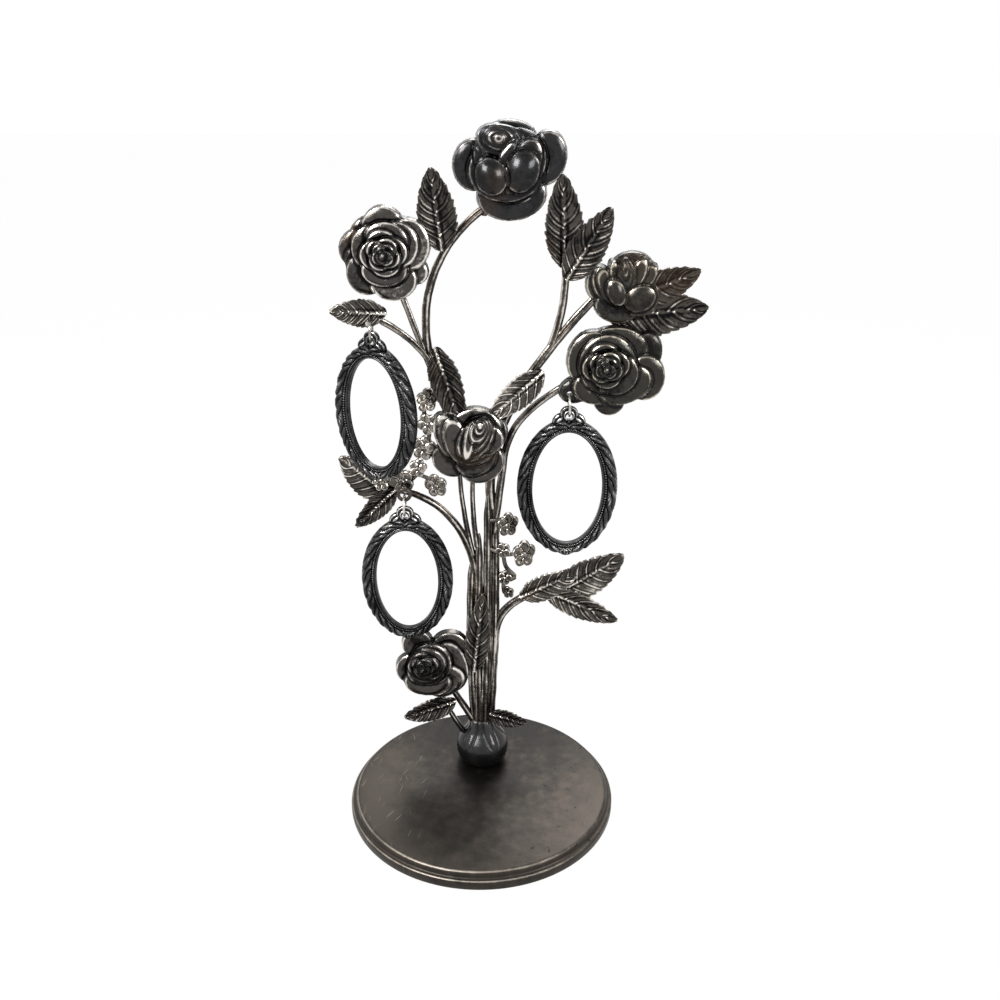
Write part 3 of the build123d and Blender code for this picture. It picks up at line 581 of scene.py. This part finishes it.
def relief(lay, radius, heart, petals, rows=104, columns=280, back_rows=8, fine=1.0, bore=0.0):
    """A cast relief: petals laid over each other in their order, on a grid that winds round the heart. lay
    turns lengths across, up and forward, in mm, into a place on the stand. fine is the width of the rims,
    and bore the radius of a hole in the middle, as a share of the relief's."""
    outline = []
    for column in range(columns + 1):
        turn = -2 * pi * column / columns
        reach = 1.5
        while reach > 0.2:
            px, py = heart[0] + reach * cos(turn), heart[1] + reach * sin(turn)
            if any(hypot(((px - x) * c + (py - y) * s) / wide, ((py - y) * c - (px - x) * s) / tall) < 1
                   for x, y, wide, tall, c, s, *_ in petals):
                break
            reach -= 0.01
        outline.append(reach)

    def rule(u, v):
        column, row = round(v * columns), round(u * (rows + back_rows))
        turn = -2 * pi * column / columns
        share = row / rows if row <= rows else (rows + back_rows - row) / back_rows
        reach = bore + (outline[column] - bore) * share
        px, py = heart[0] + reach * cos(turn), heart[1] + reach * sin(turn)
        if row > rows:
            return lay(px * radius, py * radius, 0.03 * radius * share), -0.02
        height, shine = petal_foot, 0.0
        for x, y, wide, tall, c, s, level, swell, band, brightening in petals:
            q = hypot(((px - x) * c + (py - y) * s) / wide, ((py - y) * c - (px - x) * s) / tall)
            inside = (1 - q) * min(wide, tall)
            edge = inside * radius / fine
            if edge <= 0:
                near = exp(-((edge / 0.55) ** 2))
                height -= 0.012 * near
                shine -= 0.9 * near
                continue
            climb = min(1.0, edge / 0.5)
            climb *= climb * (3 - 2 * climb)
            rise = 1 - (1 - min(1.0, inside / band)) ** 2
            top = level + swell * rise - 0.28 * max(0.0, inside - band)
            height += (top - height) * climb
            rim = exp(-(((edge - 0.75) / 0.5) ** 2))
            # Rims and swells are rubbed bright, and a petal's extra brightening lifts its swell further: on the
            # roses a painted highlight.
            rubbed_and_highlight = 0.84 * rim + (0.29 + brightening) * rise - 1.6 * max(0.0, inside - band) - 0.05
            shine = shine * (1 - climb) + climb * rubbed_and_highlight
        border = min(1.0, (1 - share) / 0.02, share / 0.02 if bore else 1.0)
        height = petal_foot + (height - petal_foot) * border ** 0.5
        return lay(px * radius, py * radius, height * radius), shine

    return shaped("relief", rows + back_rows, columns, rule, smooth=85)


def open_heart(x, y, reach, level):
    """The winding middle of an open rose: rings of petals that get smaller and higher, and an eye."""
    petals = []
    rings = ((1.0, 0.0, 100), (0.74, 0.07, 150), (0.52, 0.13, 40), (0.36, 0.18, 120), (0.23, 0.22, 10))
    for share, up, first in rings:
        petals += ring_of_petals(x, y, reach * share, level + up, first, 4 if share > 0.4 else 3)
    return petals + [petal(x, y, reach * 0.12, reach * 0.10, 30, level + 0.27, 0.02, 0.05)]


# Each rose's silver, centre, radius, how far it stands forward, where its heart is, and its petals. Where a
# petal has a ninth value, a highlight is painted on its swell.
rose_petals = {
    "rose_left": (rose_silver, (-0.474, 0.833), 0.243, 0.014, (-0.03, 0.04), [
        petal(0.26, 0.42, 0.46, 0.38, -20, 0.17), petal(-0.34, 0.36, 0.46, 0.42, 40, 0.17),
        petal(-0.04, 0.48, 0.48, 0.53, 0, 0.20), petal(-0.54, 0.10, 0.48, 0.44, 10, 0.19),
        petal(-0.48, -0.16, 0.42, 0.44, 0, 0.18), petal(-0.44, -0.42, 0.44, 0.48, 15, 0.20),
        petal(0.62, -0.38, 0.28, 0.30, 0, 0.17, 0.09, 0.17, 0.4),
        petal(0.14, -0.56, 0.52, 0.46, 10, 0.19, 0.09, 0.17, 0.4),
        petal(0.48, 0.20, 0.48, 0.56, 0, 0.22, 0.09, 0.17, 0.5), petal(-0.28, 0.12, 0.46, 0.50, 10, 0.27),
        petal(-0.04, -0.34, 0.52, 0.36, 0, 0.28), petal(0.26, 0.20, 0.46, 0.50, 0, 0.29, 0.09, 0.17, 0.45),
        petal(0.05, 0.32, 0.48, 0.37, -15, 0.31),
    ] + open_heart(-0.03, 0.03, 0.50, 0.36)),
    "rose_right": (rose_bronzed, (0.723, 0.673), 0.271, 0.036, (-0.25, 0.22), [
        petal(-0.74, -0.34, 0.38, 0.28, 20, 0.19), petal(0.62, 0.44, 0.32, 0.40, 0, 0.19),
        petal(-0.08, -0.58, 0.32, 0.30, 0, 0.19), petal(0.0, 0.50, 0.66, 0.45, 0, 0.19),
        petal(-0.46, 0.28, 0.50, 0.60, -10, 0.20, 0.09, 0.17, 0.3),
        petal(-0.42, -0.30, 0.42, 0.34, -15, 0.22, 0.09, 0.17, 0.3),
        petal(0.60, -0.08, 0.42, 0.48, 0, 0.22, 0.09, 0.17, 0.35),
        petal(0.22, -0.22, 0.56, 0.40, 25, 0.23, 0.09, 0.17, 0.2), petal(-0.16, 0.20, 0.58, 0.62, 0, 0.28),
        petal(0.02, 0.02, 0.46, 0.44, 30, 0.31),
    ] + open_heart(-0.20, 0.20, 0.46, 0.37)),
    "rose_low": (rose_silver, (-0.290, 0.204), 0.232, 0.014, (-0.28, 0.20), [
        petal(-0.40, 0.68, 0.42, 0.44, 0, 0.19), petal(0.44, 0.62, 0.48, 0.44, 0, 0.19),
        petal(-0.58, -0.05, 0.42, 0.46, 0, 0.20), petal(0.46, 0.02, 0.46, 0.78, 10, 0.20),
        petal(0.30, -0.42, 0.58, 0.44, 35, 0.23, 0.09, 0.17, 0.4),
        petal(-0.16, -0.40, 0.64, 0.44, 0, 0.25, 0.09, 0.17, 0.25), petal(-0.06, 0.16, 0.56, 0.62, 0, 0.28),
        petal(-0.20, -0.06, 0.50, 0.42, 0, 0.32), petal(-0.12, 0.20, 0.48, 0.46, 0, 0.35),
    ] + open_heart(-0.25, 0.18, 0.40, 0.40)),
    "rose_top": (rose_dark, (0.156, 0.938), 0.293, 0.014, (-0.05, 0.20), [
        petal(0.0, 0.46, 0.52, 0.37, 0, 0.18), petal(-0.60, 0.08, 0.38, 0.44, 0, 0.20),
        petal(0.64, 0.20, 0.36, 0.47, -10, 0.20), petal(0.05, -0.42, 0.62, 0.44, 5, 0.19),
        petal(-0.05, 0.0, 0.66, 0.54, 0, 0.27), petal(0.08, 0.16, 0.58, 0.54, 30, 0.31),
        petal(-0.12, 0.26, 0.50, 0.50, 20, 0.35), petal(-0.16, 0.48, 0.42, 0.28, -15, 0.38),
        petal(-0.17, 0.52, 0.30, 0.20, -15, 0.41, 0.06, 0.08),
        petal(-0.20, 0.54, 0.19, 0.13, -10, 0.45, 0.05, 0.06),
        petal(-0.17, 0.53, 0.10, 0.08, 0, 0.48, 0.03, 0.04),
        petal(0.26, 0.14, 0.28, 0.44, -28, 0.40, 0.10, 0.24),
        petal(-0.04, 0.26, 0.11, 0.32, -35, 0.43, 0.05, 0.10),
        petal(0.22, 0.00, 0.31, 0.38, -20, 0.40, 0.17, 0.32),
        petal(-0.30, -0.08, 0.29, 0.34, 25, 0.42, 0.17, 0.30),
    ]),
    "rose_bud": (rose_bronzed, (0.756, 0.788), 0.212, 0.014, (0.02, 0.20), [
        petal(-0.62, 0.10, 0.34, 0.46, 0, 0.19, 0.09, 0.17, 0.2),
        petal(-0.16, -0.46, 0.58, 0.44, -10, 0.20), petal(0.42, -0.20, 0.48, 0.52, 0, 0.22),
        petal(0.18, 0.28, 0.64, 0.62, 0, 0.24, 0.12, 0.30),
        petal(-0.50, 0.12, 0.30, 0.48, 20, 0.27, 0.12, 0.22, 0.2),
        petal(-0.36, 0.02, 0.26, 0.56, 28, 0.31, 0.08, 0.16),
        petal(0.42, 0.20, 0.25, 0.54, -46, 0.30, 0.08, 0.14),
        petal(0.27, 0.31, 0.22, 0.52, -26, 0.34, 0.08, 0.12),
        petal(-0.17, 0.28, 0.20, 0.46, 22, 0.34, 0.08, 0.12),
        petal(0.02, 0.34, 0.24, 0.46, 4, 0.38, 0.07, 0.10),
        petal(0.00, 0.40, 0.17, 0.36, 6, 0.41, 0.05, 0.07),
        petal(-0.02, 0.49, 0.10, 0.24, 8, 0.44, 0.04, 0.06),
        petal(-0.04, 0.58, 0.05, 0.11, 0, 0.47, 0.03, 0.04),
        petal(0.38, -0.24, 0.44, 0.34, 24, 0.37, 0.12, 0.26),
        petal(-0.20, -0.08, 0.25, 0.38, 24, 0.39, 0.14, 0.24, 0.25),
    ]),
    "rose_center": (rose_silver, (-0.054, 0.566), 0.229, 0.030, (0.02, 0.25), [
        petal(-0.46, 0.38, 0.42, 0.54, 10, 0.19), petal(0.62, 0.36, 0.30, 0.42, 0, 0.19),
        petal(-0.46, -0.34, 0.50, 0.44, -30, 0.21, 0.09, 0.17, 0.1),
        petal(0.28, -0.44, 0.60, 0.50, 30, 0.20, 0.09, 0.17, 0.3), petal(0.14, 0.42, 0.66, 0.58, 0, 0.24),
        petal(-0.50, 0.26, 0.34, 0.64, 24, 0.26, 0.12, 0.24, 0.45),
        petal(0.14, -0.30, 0.54, 0.42, 26, 0.27), petal(-0.30, 0.16, 0.32, 0.62, 16, 0.32, 0.10, 0.20),
        petal(0.22, -0.12, 0.50, 0.28, 30, 0.33, 0.08, 0.16), petal(0.44, 0.22, 0.40, 0.38, 40, 0.33),
        petal(0.14, 0.26, 0.40, 0.62, -30, 0.36, 0.09, 0.14),
        petal(0.17, 0.36, 0.30, 0.50, -28, 0.40, 0.08, 0.12),
        petal(-0.02, 0.20, 0.14, 0.54, -8, 0.42, 0.08, 0.12, 0.3),
        petal(0.22, 0.47, 0.21, 0.33, -24, 0.44, 0.06, 0.09),
        petal(0.25, 0.56, 0.13, 0.19, -18, 0.48, 0.05, 0.06),
        petal(0.26, 0.61, 0.06, 0.09, -15, 0.51, 0.03, 0.04),
    ]),
}
for node, (silver, center, radius_share, forward_share, heart, petals) in rose_petals.items():
    def lay(across, up, forward, center=center, forward_share=forward_share):
        return center[0] * REACH + across, SETBACK - forward_share * REACH - forward, center[1] * HEIGHT + up

    rose = relief(lay, radius_share * REACH, heart, petals)
    finished(joined(node.capitalize(), [rose]), silver, "rose_metal", "stand", node)


# Blossoms: small flat flowers cast in a paler silver, in sprays whose thin stalks are soldered to the stems.
# Five round petals with rubbed rims stand about a boss.
blossom_silver = antique(
    "blossom_silver", rgb(12, 11, 10), rgb(98, 93, 87), rgb(226, 219, 209), 0.28, 0.48, 0.05)
blossom_forward, stalk_forward, stalk_middle_forward, stalk_radius = 1.4, 1.5, 1.9, 0.9
# Flowers on the left are painted brighter than those on the right.
petal_spread, flower_tilts, left_brightening, right_brightening = 1.06, (-16, 12, -5, 18), 0.42, 0.05


def blossom(x, z, size, tilt, turned, brightening):
    """One flower, tilted to a side, turned in its plane and made brighter by a given amount."""
    sway, nod = sin(radians(tilt)), sin(radians(tilt * 0.7 - 12))
    turns = [turned + step * 2 * pi / 5 for step in range(5)]
    petals = [petal(0.50 * cos(turn), 0.50 * sin(turn), 0.44, 0.44, 0, 0.34 + 0.02 * step, 0.10, 0.24, brightening)
              for step, turn in enumerate(turns)]
    petals.append(petal(0.0, 0.0, 0.22, 0.22, 0, 0.44, 0.16, 0.2))

    def lay(across, up, forward):
        depth = SETBACK - blossom_forward - forward - across * sway - up * nod
        return x * REACH + across, depth, z * HEIGHT + up

    return relief(lay, size, (0.0, 0.0), petals, 30, 90, 4, 0.34)


def rod(points, thick, thin=None, steps=16, sides=10):
    """A round rod through points, with rounded ends. Its radius goes from thick to thin."""
    thin = thick if thin is None else thin
    ends = [[2 * a - b for a, b in zip(points[0], points[1])]] + [list(p) for p in points]
    ends.append([2 * a - b for a, b in zip(points[-1], points[-2])])
    spans = len(points) - 1

    def at(u):
        run = min(spans - 1, int(u * spans))
        t = u * spans - run
        p = ends[run:run + 4]
        return [
            b + 0.5 * ((c - a) * t + (2 * a - 5 * b + 4 * c - d) * t ** 2 + (3 * b - a - 3 * c + d) * t ** 3)
            for a, b, c, d in zip(*p)
        ]

    def rule(u, v):
        x, y, z = at(u)
        ahead, back = at(min(1, u + 0.01)), at(max(0, u - 0.01))
        dx, dy, dz = (a - b for a, b in zip(ahead, back))
        long = (dx * dx + dy * dy + dz * dz) ** 0.5
        dx, dy, dz = dx / long, dy / long, dz / long
        sx, sy, sz = (0.0, dz, -dy) if abs(dx) < 0.9 else (-dz, 0.0, dx)
        side = (sx * sx + sy * sy + sz * sz) ** 0.5
        sx, sy, sz = sx / side, sy / side, sz / side
        tx, ty, tz = dy * sz - dz * sy, dz * sx - dx * sz, dx * sy - dy * sx
        size = (thick + (thin - thick) * u) * min(1.0, min(u, 1 - u) * spans * 6 + 0.05) ** 0.5
        a, b = cos(2 * pi * v) * size, sin(2 * pi * v) * size
        return (x + sx * a + tx * b, y + sy * a + ty * b, z + sz * a + tz * b), 0.35 + 0.2 * sin(u * 9)

    return shaped("rod", spans * steps, sides, rule, smooth=80)


# Each spray's flowers, with place and size, and its stalks from end to end.
blossom_shares = {
    "blossoms_arch": (
        ((-0.286, 0.631, 0.062), (-0.285, 0.596, 0.062), (-0.310, 0.561, 0.068)),
        ((-0.286, 0.631, -0.286, 0.596), (-0.286, 0.596, -0.310, 0.561), (-0.310, 0.561, -0.120, 0.577)),
    ),
    "blossoms_low_left": (
        ((-0.550, 0.508, 0.047), (-0.440, 0.511, 0.073), (-0.347, 0.530, 0.052), (-0.249, 0.503, 0.068)),
        ((-0.550, 0.504, -0.440, 0.506), (-0.440, 0.508, -0.347, 0.522), (-0.347, 0.520, -0.249, 0.498)),
    ),
    "blossoms_right_upper": (((0.157, 0.442, 0.063),), ((0.157, 0.440, 0.045, 0.447),)),
    "blossoms_right_lower": (
        ((0.250, 0.395, 0.070), (0.129, 0.400, 0.047), (0.141, 0.355, 0.043), (0.159, 0.330, 0.038)),
        ((0.250, 0.397, 0.045, 0.402), (0.129, 0.396, 0.205, 0.355), (0.205, 0.355, 0.141, 0.352),
         (0.141, 0.355, 0.159, 0.320)),
    ),
}
for node, (flowers, stalks) in blossom_shares.items():
    spray = []
    for count, ((x, z, size), tilt) in enumerate(zip(flowers, flower_tilts)):
        brightening = right_brightening if x > 0 else left_brightening
        spray.append(blossom(x, z, size * REACH * petal_spread, tilt, 0.3 + count * 0.5, brightening))
    for ax, az, bx, bz in stalks:
        ax, az, bx, bz = ax * REACH, az * HEIGHT, bx * REACH, bz * HEIGHT
        bow = 0.13 if len(spray) % 2 else -0.13
        near, nearer = SETBACK - stalk_forward, SETBACK - stalk_middle_forward
        middle = ((ax + bx) / 2 + (bz - az) * bow, nearer, (az + bz) / 2 - (bx - ax) * bow)
        spray.append(rod([(ax, near, az), middle, (bx, near, bz)], stalk_radius))
    finished(joined(node.capitalize(), spray), blossom_silver, "blossom_metal", "stand", node)


# Hook holes: the left ring goes through a hole drilled in a leaf, the right one through a petal, and the low
# one through a small cast eye on an arm that is soldered behind the blossoms.
hole_radius, drill_length, hole_drop = 1.05, 14.0, 0.4
eye_radius, eye_width, eye_depth = 2.25, 0.75, 0.8
hook_shares = {"left": (-0.560, 0.752, 0.134), "low": (-0.420, 0.499, 0.129), "right": (0.484, 0.647, 0.120)}
hooks = {
    side: (x * REACH, SETBACK - forward * REACH, z * HEIGHT) for side, (x, z, forward) in hook_shares.items()
}
for side, name in (("left", "Leaf_hook"), ("right", "Rose_right")):
    x, y, z = (length * MM for length in hooks[side])
    bpy.ops.mesh.primitive_cylinder_add(
        vertices=24, radius=hole_radius * MM, depth=drill_length * MM, location=(x, y, z - hole_drop * MM),
        rotation=(pi / 2, 0, 0))
    drill = bpy.context.object
    pierced = bpy.data.objects[name]
    hole = pierced.modifiers.new("hole", "BOOLEAN")
    hole.operation, hole.object, hole.solver = "DIFFERENCE", drill, "EXACT"
    bpy.ops.object.select_all(action="DESELECT")
    bpy.context.view_layer.objects.active = pierced
    bpy.ops.object.modifier_apply(modifier="hole")
    bpy.data.objects.remove(drill)


x, y, z = hooks["low"]


def eye_rule(u, v):
    turn, a = 2 * pi * u, 2 * pi * v
    reach = eye_radius + eye_width * cos(a)
    return (x + reach * cos(turn), y + eye_depth * sin(a), z + reach * sin(turn)), 0.2


arm = [
    shaped("eye", 32, 12, eye_rule, smooth=80),
    rod([(x, y, z + 2.4), (x - 0.3, y + 3.0, z + 1.6), (x, SETBACK - 0.8, z - 1.6)], 1.15, 1.5),
]
finished(joined("Hook_arm", arm), stem_silver, "stem_metal", "stand", "hook_arm")


# Hanging frames: dark oval castings, chased with slanting leaves that run down both sides from a crest of
# two scrolls. A row of beads and a plain lip go round the opening. Each hangs from a bright wire ring.
frame_silver = antique(
    "frame_silver", rgb(7, 7, 8), rgb(64, 64, 65), rgb(206, 204, 200), 0.24, 0.38, gloss=0.1)
wire_steel = antique(
    "wire_steel", rgb(70, 68, 66), rgb(150, 147, 142), rgb(225, 221, 214), 0.25, 0.6)
border_width, border_height, crest_rise = 6.2, 5.2, 0.8
bead_inset, bead_forward, bead_pairs = 1.5, 1.1, 72
crest_radius, crest_bore, knot_radius, knot_rise = 6.6, 0.19, 2.7, 3.3
ring_radius, ring_wire, hook_room, crest_room = 3.9, 0.48, 0.7, 0.6
# The border's outline: how far out from the opening and how far forward, in mm.
border_profile = (
    (0.0, -1.1), (0.0, 0.5), (0.0, 1.0), (0.2, 1.25), (0.8, 1.25), (1.0, 0.85), (1.5, 0.8), (1.9, 0.85),
    (2.05, 1.25), (2.25, 1.6), (2.5, 1.85), (2.8, 2.02), (3.1, 2.14), (3.4, 2.22), (3.7, 2.26), (4.0, 2.26),
    (4.3, 2.18), (4.6, 2.05), (4.9, 1.85), (5.2, 1.6), (5.45, 1.32), (5.65, 1.0), (5.82, 0.65), (5.94, 0.3),
    (6.0, -0.1), (6.0, -0.9), (5.8, -1.8), (5.4, -2.3), (3.4, -2.3), (1.4, -2.3), (1.4, -1.7), (1.4, -1.1),
    (0.7, -1.1), (0.0, -1.1),
)
crest_petals = [
    petal(0.0, -0.34, 0.98, 0.42, 0, 0.16, 0.05, 0.2),
    petal(-0.50, -0.14, 0.50, 0.34, 32, 0.20, 0.10, 0.16),
    petal(0.50, -0.14, 0.50, 0.34, -32, 0.20, 0.10, 0.16),
    petal(0.0, 0.22, 0.52, 0.44, 0, 0.22, 0.06, 0.12),
    petal(-0.56, -0.16, 0.30, 0.10, 38, 0.27, 0.08, 0.08),
    petal(0.56, -0.16, 0.30, 0.10, -38, 0.27, 0.08, 0.08),
    petal(0.0, 0.10, 0.34, 0.32, 0, 0.24, 0.06, 0.10),
]
knot_petals = [
    petal(0.0, 0.0, 1.0, 0.62, 0, 0.18, 0.08, 0.2), petal(-0.46, 0.0, 0.40, 0.42, 25, 0.24, 0.12, 0.2),
    petal(0.46, 0.0, 0.40, 0.42, -25, 0.24, 0.12, 0.2), petal(0.0, 0.0, 0.30, 0.50, 20, 0.34, 0.12, 0.16),
]


def loop(x, y, z, radius, wire, gap):
    """A wire bent into a circle that stands across the view, with its ends side by side."""
    def rule(u, v):
        turn = 2 * pi * (u * (1 - gap) + gap / 2) + pi * 0.25
        a = 2 * pi * v
        reach = radius + wire * cos(a)
        return (x + wire * sin(a) + (u - 0.5) * gap * 4, y + reach * cos(turn), z + reach * sin(turn)), 0.75

    return shaped("loop", 48, 12, rule, smooth=80)


# Each frame's width and height, and how far it is turned away from the view, in degrees.
frame_shares = {"left": (0.530, 0.194, 30), "low": (0.530, 0.196, 0), "right": (0.564, 0.206, 0)}
for side, (width_share, height_share, yaw) in frame_shares.items():
    wide = width_share * REACH / 2 - border_width
    tall = height_share * HEIGHT / 2 - border_height
    x, y, z = hooks[side]
    ring_z = z - hook_room - ring_radius
    crest_z = ring_z - ring_radius - (crest_room - 0.5 * sin(radians(yaw)))
    middle = crest_z - crest_rise - tall - border_height
    top = tall + border_height

    def placed(across, forward, up, x=x, y=y, middle=middle, yaw=yaw):
        c, s = cos(radians(yaw)), sin(radians(yaw))
        return x + across * c - forward * s, y - across * s - forward * c, middle + up

    def round_opening(turn, out_by, forward, wide=wide, tall=tall, placed=placed):
        """A place beside the oval opening, which the border follows more closely above and below."""
        up = tall + out_by * border_height / border_width
        return placed((wide + out_by) * sin(turn), forward, up * cos(turn))

    def border(u, v):
        out_by, forward = border_profile[round(v * (len(border_profile) - 1))]
        turn = 2 * pi * u
        half = min(turn, 2 * pi - turn)
        outer = min(1.0, max(0.0, (out_by - 4.2) / 0.6))
        chased = min(1.0, max(0.0, (out_by - 2.0) / 0.4)) * min(1.0, max(0.0, (forward + 0.6) / 0.8))
        slant = half * 14 / pi - out_by * 0.42 + 0.16 * sin(half * 9) + 0.10 * sin(half * 23)
        lobe = sin(pi * abs((slant + 0.5) % 1.0 - 0.5)) ** 0.6
        cuts = ((0.24, 0.7), (0.44, 1.0), (0.63, 0.8), (0.80, 0.6))
        line = sum(deep * exp(-(((slant % 1.0 - at) / 0.055) ** 2)) for at, deep in cuts)
        out_by += chased * 0.50 * (lobe * outer - 1) * outer
        forward += chased * (0.75 * lobe + 0.24 * line + 0.07 * sin(slant * 21 + out_by * 4.5) - 0.82)
        streak = line * (0.6 + 0.4 * sin(slant * 2.4 + out_by * 1.6))
        lip = 0.30 * (out_by < 0.9 and forward > 1.1)
        hollow = 0.35 * (1 - chased) * (out_by > 0.9 and forward > 0)
        shine = chased * (streak - 0.9 * (1 - lobe) ** 1.5 + 0.17) + lip - hollow
        return round_opening(turn, out_by, forward), shine

    def beads(u, v):
        turn, a = 2 * pi * u, 2 * pi * v
        bead = abs(sin(turn * bead_pairs))
        size = 0.16 + 0.30 * bead ** 0.7
        place = round_opening(turn, bead_inset + size * cos(a), bead_forward + size * sin(a))
        return place, 1.5 * bead ** 2 - 0.6

    def lay(across, up, forward):
        return placed(across, forward - 1.0, top + crest_rise + up)

    def lay_knot(across, up, forward):
        return placed(across, forward + 1.3, up - tall - knot_rise)

    chasing = [
        shaped("border", 640, len(border_profile) - 1, border, smooth=70),
        shaped("beads", 8 * bead_pairs, 8, beads, smooth=80),
        relief(lay, crest_radius, (0.0, 0.0), crest_petals, 44, 150, 6, 0.5, crest_bore),
        relief(lay_knot, knot_radius, (0.0, 0.0), knot_petals, 24, 70, 4, 0.3),
    ]
    frame_name, ring_name = "photo_frame_" + side, "ring_" + side
    finished(joined(frame_name.capitalize(), chasing), frame_silver, "frame_metal", frame_name, frame_name)
    ring = loop(x, y, ring_z, ring_radius, ring_wire, gap=0.03)
    finished(joined(ring_name.capitalize(), [ring]), wire_steel, "steel_wire", ring_name, ring_name)
